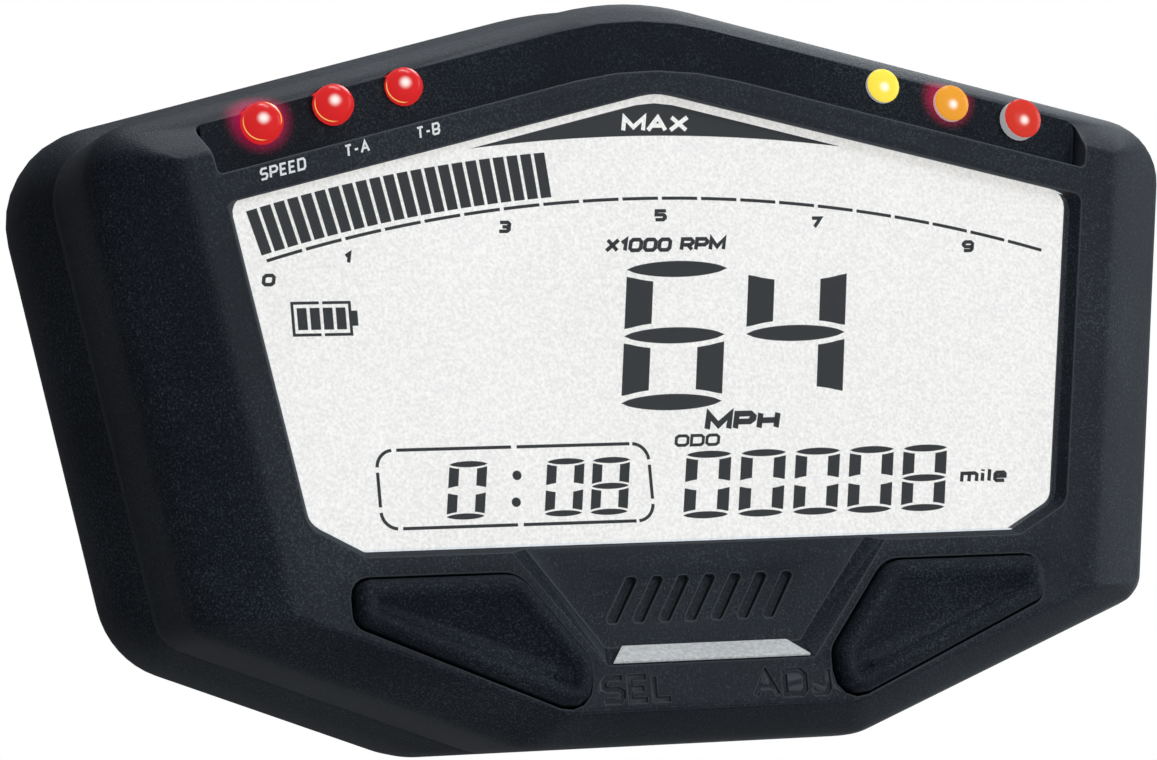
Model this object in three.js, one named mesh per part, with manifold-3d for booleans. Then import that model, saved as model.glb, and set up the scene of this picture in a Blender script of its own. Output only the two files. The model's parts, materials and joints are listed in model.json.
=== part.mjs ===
// A digital instrument cluster for a motorcycle, in millimetres.
// +X is to the reader's right, +Z is up and the display faces -Y. The origin is the middle of the
// mounting pad on the back. "Depth" below is measured backwards from the front face.
import * as THREE from "three";
import { mergeVertices } from "three/addons/utils/BufferGeometryUtils.js";
import Module from "manifold-3d";

const wasm = await Module();
wasm.setup();

// ---------- driving dimensions ----------

const totalDepth = 34; // front face to mounting pad
const apexHeight = 46.75; // where the two roof edges would meet
const bottomHeight = -44.9;
const roofSlope = 0.243; // fall of the roof edge per millimetre outwards
const sideReach = 68.05; // half width of the body at sideLevel
const sideLevel = 5;
const sideSlope = 0.17; // gain in half width per millimetre upwards
const chinSlope = 0.383; // rise of the slanted chin per millimetre outwards
const chinReach = 22; // where the chin meets the level bottom
const wall = 2.4;
const fit = 0.3; // gap between pieces that touch
const bevel = { roof: 7.5, side: 10.85, chin: 4.5, bottom: 3.4 };
const bevelDepth = 8.6;
const housingBack = 17.2;
const coverFront = housingBack + fit;
const plateBack = 33;
const flare = { roof: 3, side: 2.85, chin: 1.3, bottom: 0 };
const flareRounding = { upper: 1.2, lower: 4.4 }; // how much rounder its corners are where it is widest
const sideDraft = 0.05;
const bottomDraft = 0.1; // rise of the bottom wall per millimetre backwards, behind the bevel

const windowRoof = 32.9;
const windowSlope = 0.235;
const windowReach = { top: 56.2, corner: 49.55, bottom: 42.7 };
const windowLevel = { corner: -18.7, bottom: -22.4 };
const windowDraft = { roof: -0.6, side: 1.25, chin: 1.3, bottom: 1.2 };
const windowDepth = 2.4;
const cavityFront = 4.2;

const stripLower = 36.8; // lower edge of the indicator strip on the centre line
const stripHeight = 6.9;
const stripSlope = 0.24;
const stripReach = 57;
const stripDepth = 3.65;
const stripTilt = THREE.MathUtils.degToRad(4);
const fasciaThickness = 0.6;
const lampRadius = 2.5; // 5 mm indicator lamps
const lampReach = [31.7, 40.9, 50.1];
const lampRise = 4.85; // lamp axis above the strip's lower edge, at fascia level

const buttonProud = 1.9;
const buttonGap = 0.35;
const buttonHoleBack = 7.2;
const postPlace = [28.5, -31.5];
const postEnd = 7;
const plungerFront = postEnd + fit;
const boardFront = 12.6;
const boardThickness = 1.6;

const caseScrews = [[63.2, 19], [-63.2, 19], [57.2, -17.5], [-57.2, -17.5], [0, -34.2], [0, 40]];
const boardScrews = [[60.6, 3], [-60.6, 3], [9.5, -39.8], [-9.5, -39.8]];
const inserts = [[27.5, 14], [-27.5, 14], [0, -4]];
const glandPlace = [0, -19];

// ---------- materials ----------

const finish = (color, roughness, metalness = 0) =>
  new THREE.MeshStandardMaterial({ color, roughness, metalness });
const clear = (color, opacity, roughness = 0.05) =>
  new THREE.MeshStandardMaterial({ color, roughness, opacity, transparent: true });

const material = {
  housing: finish(0x31373d, 0.6),
  fascia: finish(0x12161d, 0.22),
  button: finish(0x2b3136, 0.7),
  cover: finish(0x23272b, 0.7),
  rubber: finish(0x141414, 0.85),
  lens: clear(0xf4f6f6, 0.3),
  display: finish(0xeeeeec, 0.35),
  guide: clear(0xf8f8f4, 0.6, 0.2),
  white: finish(0xf2f2f0, 0.5),
  board: finish(0x145034, 0.45),
  chip: finish(0x17181a, 0.5),
  connector: finish(0xe9e4d4, 0.5),
  steel: finish(0xa9adb0, 0.35, 1),
  chrome: finish(0xd8dadc, 0.12, 1),
  brass: finish(0xb8923c, 0.35, 1),
  accent: finish(0xc9cccd, 0.35, 0.8),
  red: clear(0xd7232a, 0.85),
  orange: clear(0xe69a2e, 0.85),
  yellow: clear(0xfae650, 0.85),
};

// ---------- outlines ----------

// An outline is a list of corners { x, z, r } that runs anticlockwise seen from the front.
// Edge k runs from corner k to corner k + 1.

const corner = (x, z, r) => ({ x, z, r });
const next = (list, k) => list[(k + 1) % list.length];
const previous = (list, k) => list[(k + list.length - 1) % list.length];

// Adds the mirror image of the right-hand corners of a shape that is symmetrical about X = 0.
function mirrored(right) {
  const left = right.filter((c) => c.x > 0).reverse();
  return [...right, ...left.map((c) => corner(-c.x, c.z, c.r))];
}

// The line of edge k, moved outwards: a point on it and its direction.
function edgeLine(outline, k, outwards) {
  const a = outline[k];
  const b = next(outline, k);
  const along = new THREE.Vector2(b.x - a.x, b.z - a.z).normalize();
  const point = new THREE.Vector2(a.x + along.y * outwards, a.z - along.x * outwards);
  return { point, along };
}

function crossing(first, second) {
  const gap = second.point.clone().sub(first.point);
  const t = gap.cross(second.along) / first.along.cross(second.along);
  return first.point.clone().addScaledVector(first.along, t);
}

// Moves every edge outwards by its own amount, or all of them by one amount.
function moved(outline, amounts) {
  const amount = (k) => (Array.isArray(amounts) ? amounts[k] : amounts);
  return outline.map((c, k) => {
    const before = (k + outline.length - 1) % outline.length;
    const p = crossing(edgeLine(outline, before, amount(before)), edgeLine(outline, k, amount(k)));
    const grown = c.r + (amount(before) + amount(k)) / 2;
    return corner(p.x, p.y, Math.max(grown, 0.4));
  });
}

// Points round an outline, with the same number of points at each corner, whatever its radius.
function pointsOf(outline, arcSteps = 4) {
  const points = [];
  outline.forEach((c, k) => {
    const here = new THREE.Vector2(c.x, c.z);
    const from = new THREE.Vector2(previous(outline, k).x, previous(outline, k).z);
    const to = new THREE.Vector2(next(outline, k).x, next(outline, k).z);
    const back = from.sub(here).normalize();
    const on = to.sub(here).normalize();
    const half = Math.acos(THREE.MathUtils.clamp(back.dot(on), -1, 1)) / 2;
    const middle = back.clone().add(on).normalize();
    const centre = here.clone().addScaledVector(middle, c.r / Math.sin(half));
    const start = here.clone().addScaledVector(back, c.r / Math.tan(half)).sub(centre);
    const turn = (Math.PI - 2 * half) * Math.sign(on.cross(back));
    for (let i = 0; i <= arcSteps; i++) {
      const spoke = start.clone().rotateAround(new THREE.Vector2(), (turn * i) / arcSteps);
      points.push(spoke.add(centre));
    }
  });
  return points;
}

// ---------- solids ----------

const toY = (depth) => depth - totalDepth;

const toSolid = (geometry) => {
  const bare = new THREE.BufferGeometry();
  const flat = geometry.index ? geometry.toNonIndexed() : geometry;
  bare.setAttribute("position", flat.getAttribute("position"));
  const merged = mergeVertices(bare, 1e-4);
  return new wasm.Manifold(
    new wasm.Mesh({
      numProp: 3,
      vertProperties: new Float32Array(merged.attributes.position.array),
      triVerts: new Uint32Array(merged.index.array),
    }),
  );
};

const toGeometry = (solid) => {
  const mesh = solid.getMesh();
  const geometry = new THREE.BufferGeometry();
  geometry.setAttribute("position", new THREE.BufferAttribute(mesh.vertProperties, 3));
  geometry.setIndex(new THREE.BufferAttribute(mesh.triVerts, 1));
  return geometry;
};

// A closed solid through rings of [x, depth, z] points, front ring first.
function skin(rings) {
  const count = rings[0].length;
  const position = rings.flat().flatMap(([x, depth, z]) => [x, toY(depth), z]);
  const index = [];
  for (let k = 0; k < rings.length - 1; k++) {
    for (let i = 0; i < count; i++) {
      const a = k * count + i;
      const b = k * count + ((i + 1) % count);
      index.push(a, a + count, b, b, a + count, b + count);
    }
  }
  const cap = (ring, offset, front) => {
    const plan = ring.map(([x, , z]) => new THREE.Vector2(x, z));
    for (const [a, b, c] of THREE.ShapeUtils.triangulateShape(plan, [])) {
      index.push(offset + a, offset + (front ? b : c), offset + (front ? c : b));
    }
  };
  cap(rings[0], 0, true);
  cap(rings[rings.length - 1], (rings.length - 1) * count, false);
  const geometry = new THREE.BufferGeometry();
  geometry.setAttribute("position", new THREE.Float32BufferAttribute(position, 3));
  geometry.setIndex(index);
  return toSolid(geometry);
}

const ringAt = (outline, depth, arcSteps) =>
  pointsOf(outline, arcSteps).map((p) => [p.x, typeof depth === "function" ? depth(p.x, p.y) : depth, p.y]);

// A solid through outlines at given depths: levels are [depth, outline] pairs, front first.
const loft = (levels, arcSteps) => skin(levels.map(([depth, outline]) => ringAt(outline, depth, arcSteps)));

const slab = (outline, front, back, arcSteps) => loft([[front, outline], [back, outline]], arcSteps);

// A turned piece with its axis along Y, from [radius, depth] pairs, front first.
function turned(profile, [x, z], segments = 20) {
  const points = profile.map(([radius, depth]) => new THREE.Vector2(radius, toY(depth)));
  const geometry = new THREE.LatheGeometry(points, segments);
  geometry.translate(x, 0, z);
  return toSolid(geometry);
}

const rod = (radius, front, back, place, segments) =>
  turned([[0, front], [radius, front], [radius, back], [0, back]], place, segments);

const box = (width, height, front, back, [x, z]) =>
  toSolid(
    new THREE.BoxGeometry(width, back - front, height).translate(x, toY((front + back) / 2), z),
  );

const joined = (solids) => solids.reduce((whole, one) => whole.add(one));
const without = (solid, cuts) => cuts.reduce((left, cut) => left.subtract(cut), solid);

const cluster = new THREE.Group();

function addPart(name, solid, look) {
  const mesh = new THREE.Mesh(toGeometry(solid), look);
  mesh.name = name;
  cluster.add(mesh);
}

// ---------- main outlines ----------

const bodyOutline = (() => {
  const sideX = (z) => sideReach + sideSlope * (z - sideLevel);
  const shoulderZ = (apexHeight - roofSlope * sideX(0)) / (1 + roofSlope * sideSlope);
  const chinZ = (bottomHeight + chinSlope * (sideX(0) - chinReach)) / (1 - chinSlope * sideSlope);
  return mirrored([
    corner(chinReach, bottomHeight, 10),
    corner(sideX(chinZ), chinZ, 4.2),
    corner(sideX(shoulderZ), shoulderZ, 7.5),
    corner(0, apexHeight, 36),
  ]);
})();

// Amounts for the seven edges of the body: chin, side, roof, roof, side, chin, bottom.
const bodyAmounts = ({ roof, side, chin, bottom }, share) =>
  [chin, side, roof, roof, side, chin, bottom].map((value) => value * share);

const bodyAt = (amounts, share = 1) => moved(bodyOutline, bodyAmounts(amounts, share));
const even = (value) => ({ roof: value, side: value, chin: value, bottom: value });

// The wall behind the bevel: its sides widen and its bottom rises backwards as far as the rear case,
// whose own flare is added to that.
function wallAt(depth, inset = 0, flareShare = 0) {
  const lift = bottomDraft * Math.max(depth - bevelDepth, 0);
  const spread = sideDraft * THREE.MathUtils.clamp(depth - bevelDepth, 0, housingBack - bevelDepth);
  const wall = bodyAt({
    roof: flare.roof * flareShare - inset,
    side: spread + flare.side * flareShare - inset,
    chin: flare.chin * flareShare - inset,
    bottom: -lift - inset,
  });
  return wall.map((c) => {
    const rounding = c.z > 0 ? flareRounding.upper : flareRounding.lower;
    return corner(c.x, c.z, c.r + rounding * flareShare);
  });
}

const windowOutline = mirrored([
  corner(windowReach.bottom, windowLevel.bottom, 1.5),
  corner(windowReach.corner, windowLevel.corner, 2.5),
  corner(windowReach.top, windowRoof - windowSlope * windowReach.top, 0.9),
  corner(0, windowRoof, 12),
]);
const windowAt = (amounts) => moved(windowOutline, bodyAmounts(amounts, 1));
const inwards = (amounts) => Object.fromEntries(Object.entries(amounts).map(([k, v]) => [k, -v]));
// The clear area at the lens, with rounder upper corners than the rim's.
const viewOutline = windowAt(inwards(windowDraft)).map((c) =>
  c.z > windowLevel.corner && c.x !== 0 ? corner(c.x, c.z, 2.2) : c,
);
const viewAt = (amounts) => moved(viewOutline, bodyAmounts(amounts, 1));

const buttonOutline = [
  corner(15.6, -42.9, 3.2),
  corner(45.1, -30.4, 2),
  corner(45.1, -24.7, 2.3),
  corner(23.9, -24.7, 4),
  corner(15.6, -35.3, 3),
];

// ---------- front housing ----------

// Shares of the bevel still to come at each depth: on the roof, chin and bottom, and on the fuller sides.
const bevelLevels = [[0, 1, 1], [0.1, 0.93, 0.93], [0.45, 0.85, 0.84], [2.2, 0.62, 0.56], [3.9, 0.4, 0.31],
  [5.3, 0.22, 0.13], [6.4, 0.1, 0.04], [7.4, 0.03, 0.01], [bevelDepth, 0, 0]];
const bevelAt = (share, sideShare) => bodyAt({
  roof: -bevel.roof * share, side: -bevel.side * sideShare,
  chin: -bevel.chin * share, bottom: -bevel.bottom * share,
});

const outerSteps = 8; // facets round each corner of the case
const housingOuter = loft(
  [
    ...bevelLevels.map(([depth, share, sideShare]) => [depth, bevelAt(share, sideShare)]),
    [housingBack, wallAt(housingBack)],
  ],
  outerSteps,
);

const housingCavity = loft(
  [
    [cavityFront, bodyAt({ roof: 11, side: 13.05, chin: 5.4, bottom: 5.8 }, -1)],
    [bevelDepth + 0.4, wallAt(bevelDepth, wall)],
    [housingBack + 1, wallAt(housingBack + 1, wall)],
  ],
  3,
);

const windowCut = loft([
  [-1, windowOutline],
  [0, windowOutline],
  [windowDepth + 0.1, viewOutline],
]);
const displayPocket = slab(viewAt(even(1.7)), windowDepth, cavityFront + 1, 3);

// The sunken panel below the window, with one steep lower wall.
const panelReach = { top: 26.3, bottom: 13.5 };
const panelLevel = { top: -20, bottom: -36.3 };
const panelDepth = { top: 1.2, bottom: 2.4 };
const panelCut = (() => {
  const rim = mirrored([
    corner(panelReach.bottom, panelLevel.bottom, 0.5),
    corner(panelReach.top, panelLevel.top, 0.5),
  ]);
  const floor = moved(rim, [-2.1, 0, -2.1, -2.4]);
  const fall = (panelDepth.bottom - panelDepth.top) / (panelLevel.bottom - panelLevel.top);
  const floorDepth = (x, z) => panelDepth.top + fall * (z - panelLevel.top);
  return skin([ringAt(rim, -1, 1), ringAt(rim, 0, 1), ringAt(floor, floorDepth, 1)]);
})();

// A thin bright strip on the panel's steep lower wall, between two shares of the wall's height.
const accentBar = (() => {
  const rise = 2.4;
  const run = 2.3;
  const square = Math.SQRT1_2; // the wall stands at about 45 degrees
  const edge = (share, off) => {
    const reach = panelReach.bottom - 0.5 - rise * share;
    const depth = run * share - square * off;
    const z = panelLevel.bottom + rise * share + square * off;
    return [[-reach, depth, z], [reach, depth, z]];
  };
  const face = (off) => {
    const [lowLeft, lowRight] = edge(0.06, off);
    const [highLeft, highRight] = edge(0.94, off);
    return [lowLeft, lowRight, highRight, highLeft];
  };
  return skin([face(0.5), face(0.12)]);
})();

// Slanted grooves in the panel, in place of lettering.
const groove = { pitch: 3.4, lean: 1.6, halfWidth: 0.8, low: -31, high: -25.6, floor: 2.9 };
const reliefCuts = [-3, -2, -1, 0, 1, 2, 3].map((k) => {
  const foot = k * groove.pitch - groove.lean;
  const head = k * groove.pitch + groove.lean;
  const outline = [
    corner(foot - groove.halfWidth, groove.low, 0.3),
    corner(foot + groove.halfWidth, groove.low, 0.3),
    corner(head + groove.halfWidth, groove.high, 0.3),
    corner(head - groove.halfWidth, groove.high, 0.3),
  ];
  return slab(outline, -1, groove.floor, 1);
});

// The indicator strip: its floor leans back, so it runs out into the bevel at its upper edge.
const stripOutline = mirrored([
  corner(stripReach, stripLower - stripSlope * stripReach, 0.6),
  corner(stripReach + 1.4, stripLower + stripHeight - stripSlope * (stripReach + 1.4), 1.2),
  corner(0, stripLower + stripHeight, 46),
]);
stripOutline.push(corner(0, stripLower, 46));
const stripAngle = Math.atan(stripSlope);
const stripFloor = (x, z) => {
  const above = (z - stripLower + stripSlope * Math.abs(x)) * Math.cos(stripAngle);
  return stripDepth + above * Math.tan(stripTilt);
};
const stripCut = skin([
  ringAt(stripOutline, -1, 4),
  ringAt(stripOutline, stripFloor, 4),
]);

// Groups that stand square on the strip, one for each lamp: local +Y points out of the strip.
function lampFrame(x) {
  const z = stripLower - stripSlope * Math.abs(x) + lampRise / Math.cos(stripAngle);
  const out = new THREE.Vector3(
    Math.sign(x) * Math.sin(stripAngle) * Math.sin(stripTilt),
    -Math.cos(stripTilt),
    Math.cos(stripAngle) * Math.sin(stripTilt),
  );
  const frame = new THREE.Group();
  frame.position.set(x, toY(stripFloor(x, z) - fasciaThickness / Math.cos(stripTilt)), z);
  frame.quaternion.setFromUnitVectors(new THREE.Vector3(0, 1, 0), out);
  frame.updateMatrixWorld(true);
  return frame;
}

// A turned piece along local +Y, from [radius, height] pairs, lowest first.
const turnedUp = (profile, segments = 24) =>
  new THREE.LatheGeometry(profile.map(([radius, height]) => new THREE.Vector2(radius, height)), segments);

const lampPlaces = [...lampReach.map((x) => -x).reverse(), ...lampReach];
const lampFrames = lampPlaces.map(lampFrame);
// From left to right, with the radii of the body and of the cap. The shoulder is the cap's height above the
// fascia. A cap that is wider than its body is low and stands on a plated ring.
const lamps = [
  { name: "speed_lamp", look: "red", body: lampRadius, cap: lampRadius, shoulder: 0.9 },
  { name: "t_a_lamp", look: "red", body: 2.45, cap: 2.45, shoulder: 0.7 },
  { name: "t_b_lamp", look: "red", body: 2.3, cap: 2.3, shoulder: 0.5 },
  { name: "yellow_lamp", look: "yellow", body: 1.85, cap: 2.15, shoulder: 0.6 },
  { name: "orange_lamp", look: "orange", body: 2, cap: 2.3, shoulder: 0.6 },
  { name: "red_lamp", look: "red", body: 2.2, cap: 2.5, shoulder: 1.45 },
];
const flange = { radius: 2.9, front: -2.6, foot: -3.4 };
const bored = (frame, radius, low = -6, high = 6) =>
  toSolid(
    turnedUp([[0, low], [radius, low], [radius, high], [0, high]]).applyMatrix4(frame.matrixWorld),
  );

// A plate square behind the middle lamp of one side, of the given length, thickness and height.
function lampBoard(side, [length, thickness, height]) {
  const middle = lampFrames[lampPlaces.indexOf(side * lampReach[1])];
  const along = new THREE.Vector3(Math.cos(stripAngle), 0, -side * Math.sin(stripAngle));
  const out = new THREE.Vector3(0, 1, 0).applyQuaternion(middle.quaternion);
  const turn = new THREE.Matrix4().makeBasis(along, out, along.clone().cross(out));
  turn.setPosition(middle.position);
  const level = flange.foot - 0.15 - thickness / 2;
  const blank = new THREE.BoxGeometry(length, thickness, height).translate(0, level, 0);
  return toSolid(blank.applyMatrix4(turn));
}

// One button's opening in the front wall, with a wider space behind it for the flange.
const flangeReach = 1.1;
const flangeOutline = (extra) => moved(buttonOutline, [-1, ...Array(4).fill(flangeReach + extra)]);
const buttonHole = slab(buttonOutline, -1, buttonHoleBack).add(
  slab(flangeOutline(buttonGap), cavityFront, buttonHoleBack),
);
const mirrorImage = (solid) => {
  const geometry = toGeometry(solid).scale(-1, 1, 1);
  geometry.index.array.reverse();
  return toSolid(geometry);
};

// Bosses for the screws, as [radius, front, back] at each place, with their pilot holes.
const bossRadius = { cover: 3.1, board: 2.5 };
const bossFront = { cover: [5.2, 5.2, 5, 5, 4, 6.2], board: [5.2, 5.2, 3.6, 3.6] };
const coverBosses = caseScrews.map((place, k) =>
  rod(bossRadius.cover, bossFront.cover[k], housingBack - 0.1, place, 16),
);
const boardBosses = boardScrews.map((place, k) =>
  rod(bossRadius.board, bossFront.board[k], boardFront - 0.1, place, 16),
);
const screwRadius = { cover: 1.5, board: 1.1 };
const pilots = [
  ...caseScrews.map((place) => rod(screwRadius.cover + 0.2, 9.5, housingBack + 1, place, 12)),
  ...boardScrews.map((place) => rod(screwRadius.board + 0.2, 7.5, boardFront + 1, place, 12)),
];

const housing = without(housingOuter.subtract(housingCavity).add(joined([...coverBosses, ...boardBosses])), [
  windowCut,
  displayPocket,
  panelCut,
  stripCut,
  ...reliefCuts,
  ...lampFrames.map((frame, k) => bored(frame, lamps[k].body + 0.12)),
  ...lampFrames.map((frame) => bored(frame, flange.radius + fit, -8, flange.front + fit)),
  lampBoard(-1, [26.4, 8, 6.2]),
  lampBoard(1, [26.4, 8, 6.2]),
  buttonHole,
  mirrorImage(buttonHole),
  ...pilots,
]);
addPart("front_housing", housing, material.housing);
addPart("accent_bar", accentBar, material.accent);

// ---------- window and display stack ----------

// The lens sits in the tapered opening, just clear of its walls.
const lensFront = 1.5;
const lensBack = 2.3;
const lensAt = (depth) => {
  const share = 1 - depth / (windowDepth + 0.1);
  const amounts = Object.entries(windowDraft).map(([edge, draft]) => [edge, draft * share - 0.12]);
  return viewAt(Object.fromEntries(amounts));
};
const lensSolid = loft([[lensFront, lensAt(lensFront)], [lensBack, lensAt(lensBack)]], 3);
addPart("clear_window", lensSolid, material.lens);

addPart("lcd_glass", slab(viewAt(even(1.4)), windowDepth + 0.1, 4.7, 2), material.display);
const guideOutline = viewAt({ roof: 0.8, side: 0.8, chin: 0.5, bottom: -0.3 });
addPart("backlight_guide", slab(guideOutline, 5, 8, 2), material.guide);
addPart("backlight_reflector", slab(guideOutline, 8.3, 8.7, 2), material.white);
addPart(
  "lcd_frame",
  slab(viewAt({ roof: 2.4, side: 2.6, chin: 2.6, bottom: 3.4 }), 7.2, 12.3, 2).subtract(
    slab(viewAt({ roof: 1.1, side: 1.1, chin: 1.1, bottom: 2.2 }), 6, 13, 2),
  ),
  material.white,
);
const viewBottom = windowLevel.bottom + windowDraft.bottom;
addPart("lcd_contact_strip", box(72, 1.5, 4.8, 12.5, [0, viewBottom - 1.2]), material.rubber);

const backlightReach = [-33, -11, 11, 33];
backlightReach.forEach((x, k) =>
  addPart(`backlight_lamp_${k + 1}`, box(3.5, 2.8, 9.4, 12.5, [x, 2]), material.white),
);

// ---------- indicators ----------

const fasciaOutline = moved(stripOutline, -0.3);
const fascia = skin([
  ringAt(fasciaOutline, (x, z) => stripFloor(x, z) - fasciaThickness - 0.05, 4),
  ringAt(fasciaOutline, (x, z) => stripFloor(x, z) - 0.05, 4),
]);
addPart(
  "indicator_fascia",
  without(fascia, lampFrames.map((frame, k) => bored(frame, lamps[k].body + 0.12))),
  material.fascia,
);

const lowCapRise = 0.95;
function lampProfile({ body, cap, shoulder }) {
  const isLow = cap > body;
  const rise = isLow ? lowCapRise : cap;
  const dome = [0, 1, 2, 3, 4, 5].map((k) => {
    const angle = (k / 5) * (Math.PI / 2);
    return [cap * Math.cos(angle), shoulder + rise * Math.sin(angle)];
  });
  dome[dome.length - 1][0] = 0;
  const neck = isLow ? [[body, shoulder]] : [];
  return [[0, flange.foot], [flange.radius, flange.foot], [flange.radius, flange.front],
    [body, flange.front], ...neck, ...dome];
}

lampFrames.forEach((frame, k) => {
  const { name, look, body, cap, shoulder } = lamps[k];
  const lamp = new THREE.Mesh(turnedUp(lampProfile(lamps[k]), 20), material[look]);
  lamp.name = name;
  frame.add(lamp);
  if (cap > body) {
    const [inner, outer, foot, top] = [body + 0.05, cap - 0.02, 0.05, shoulder - 0.05];
    const profile = [[inner, foot], [outer, foot], [outer, top], [inner, top], [inner, foot]];
    const ring = new THREE.Mesh(turnedUp(profile), material.chrome);
    ring.name = `${name}_ring`;
    frame.add(ring);
  }
  cluster.add(frame);
});

addPart("left_lamp_board", lampBoard(-1, [25.5, 1.2, 5.4]), material.board);
addPart("right_lamp_board", lampBoard(1, [25.5, 1.2, 5.4]), material.board);

// ---------- buttons and their switches ----------

// The right-hand button. Its flange keeps it in the housing on every edge but the lowest.
const buttonSolid = (() => {
  const flangeFront = cavityFront + 0.4;
  const flangeBack = flangeFront + 1.2;
  const shrunk = (amount) => moved(buttonOutline, -amount);
  const cap = loft(
    [
      [-buttonProud + 0.5, shrunk(2.7)],
      [-buttonProud + 0.12, shrunk(2.1)],
      [-buttonProud, shrunk(1.6)],
      [-buttonProud + 0.15, shrunk(1.1)],
      [-buttonProud + 0.55, shrunk(0.65)],
      [-buttonProud + 1.2, shrunk(buttonGap)],
      [flangeBack, shrunk(buttonGap)],
    ],
    3,
  );
  const post = rod(2, flangeBack - 0.5, postEnd, postPlace, 16);
  return joined([cap, slab(flangeOutline(0), flangeFront, flangeBack, 3), post]);
})();

const switchFront = 9;
function addButton(prefix, side) {
  const place = [side * postPlace[0], postPlace[1]];
  addPart(`${prefix}_button`, side > 0 ? buttonSolid : mirrorImage(buttonSolid), material.button);
  const body = box(6, 6, switchFront, boardFront - 0.1, place).subtract(rod(1.75, 8, 11.4, place, 20));
  addPart(`${prefix}_switch_body`, body, material.chip);
  addPart(`${prefix}_switch_plunger`, rod(1.6, plungerFront, 10.5, place, 16), material.connector);
}
addButton("sel", -1);
addButton("adj", 1);

// ---------- circuit board ----------

const boardBack = boardFront + boardThickness;
const boardOutline = wallAt(boardBack, wall + 0.8);
addPart(
  "main_board",
  without(slab(boardOutline, boardFront, boardBack, 2), [
    ...caseScrews.map((place) => rod(bossRadius.cover + 0.5, 12, 15, place, 12)),
    ...boardScrews.map((place) => rod(screwRadius.board + 0.3, 12, 15, place, 12)),
  ]),
  material.board,
);
const onBoard = boardBack + 0.1;
addPart("controller_chip", box(14, 14, onBoard, onBoard + 1.4, [-20, 6]), material.chip);
addPart("clock_crystal", box(11, 4, onBoard, onBoard + 3.4, [-20, -8]), material.steel);
addPart("voltage_regulator", box(10, 9, onBoard, onBoard + 2.3, [24, -8]), material.chip);
[[38, -4], [38, 8]].forEach((place, k) =>
  addPart(`capacitor_${k + 1}`, rod(4, onBoard, onBoard + 7, place, 20), material.steel),
);
addPart("harness_header", box(18, 6, onBoard, onBoard + 5.5, [0, glandPlace[1]]), material.connector);

// A pan-head screw from its tip at the given depth: shank radius, shank length, head radius and place.
const panHead = (radius, length, head, [x, z], front) =>
  turned(
    [[0, front], [radius, front], [radius, front + length], [head, front + length],
      [head, front + length + 1.1], [head * 0.7, front + length + 1.7], [0, front + length + 1.9]],
    [x, z],
    14,
  );
const boardShank = 5.6;
boardScrews.forEach((place, k) => {
  const front = boardBack + 0.1 - boardShank;
  addPart(`board_screw_${k + 1}`, panHead(screwRadius.board, boardShank, 2.1, place, front), material.steel);
});

// ---------- rear case ----------

// Each level of the flared shell: depth, share of the flare, and rounding towards the back plate.
const coverLevels = [[coverFront, 0, 0], [18.4, 0.12, 0], [19.8, 0.38, 0], [21.4, 0.67, 0], [23, 0.87, 0],
  [24.8, 0.97, 0], [27, 1, 0], [28.6, 1, 0.25], [30.4, 1, 1.1], [31.8, 1, 2.2], [32.6, 1, 3.3],
  [plateBack, 1, 4.5]];
const coverOuter = loft(
  coverLevels.map(([depth, share, round]) => [depth, wallAt(depth, round, share)]),
  outerSteps,
);
const plateFront = plateBack - 2.6;
const coverHollow = loft(
  [
    [coverFront - 1, wallAt(coverFront, 4)],
    [19.6, wallAt(19.6, 4)],
    [21.8, wallAt(21.8, wall, 0.7)],
    [28, wallAt(28, wall, 1)],
    [plateFront, wallAt(plateFront, wall + 1.6, 1)],
  ],
  3,
);
const padOutline = mirrored([corner(38, -10, 6), corner(38, 24, 6)]);
const insertFoot = totalDepth - 7;
const screwSeat = 22;
const wellRadius = 3.4;
const columns = caseScrews.map((place) => rod(5, coverFront, plateBack - 0.3, place, 20)).concat(
  inserts.map((place) => rod(5.4, insertFoot, plateBack - 1, place, 20)),
);
const glandCollar = turned(
  [[0, plateBack - 1], [10.5, plateBack - 1], [9.6, totalDepth], [0, totalDepth]],
  glandPlace,
  28,
);
const sealRing = (outer, inner, front, back) =>
  slab(wallAt(housingBack, outer), front, back, 3).subtract(
    slab(wallAt(housingBack, inner), front - 1, back + 1, 3),
  );
const coverShell = joined([
  coverOuter.subtract(coverHollow).add(joined(columns).intersect(coverOuter)),
  slab(padOutline, plateBack - 0.5, totalDepth, 4),
  glandCollar,
]);
const rearCase = without(coverShell, [
  sealRing(0.9, 2.6, coverFront - 1, coverFront + 1.3),
  ...caseScrews.map((place) => rod(screwRadius.cover + 0.3, coverFront - 1, screwSeat + 1, place, 14)),
  ...caseScrews.map((place) => rod(wellRadius, screwSeat, totalDepth, place, 20)),
  ...inserts.map((place) => rod(3.5, insertFoot + 0.8, totalDepth + 1, place, 20)),
  rod(6, plateFront - 1, totalDepth + 1, glandPlace, 24),
]);
addPart("rear_case", rearCase, material.cover);
addPart("case_seal", sealRing(1.05, 2.45, housingBack + 0.05, coverFront + 1.2), material.rubber);

inserts.forEach((place, k) => {
  const bore = 2.1; // M5 thread
  const outside = 3.4;
  const foot = insertFoot + 1;
  const profile = [[bore, foot], [outside, foot], [outside, totalDepth - 0.1], [bore, totalDepth - 0.1],
    [bore, foot]];
  addPart(`threaded_insert_${k + 1}`, turned(profile, place, 20), material.brass);
});

const caseShank = 12;
caseScrews.forEach((place, k) => {
  const front = screwSeat + 0.1 - caseShank;
  addPart(`case_screw_${k + 1}`, panHead(screwRadius.cover, caseShank, 2.9, place, front), material.steel);
});

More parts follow.
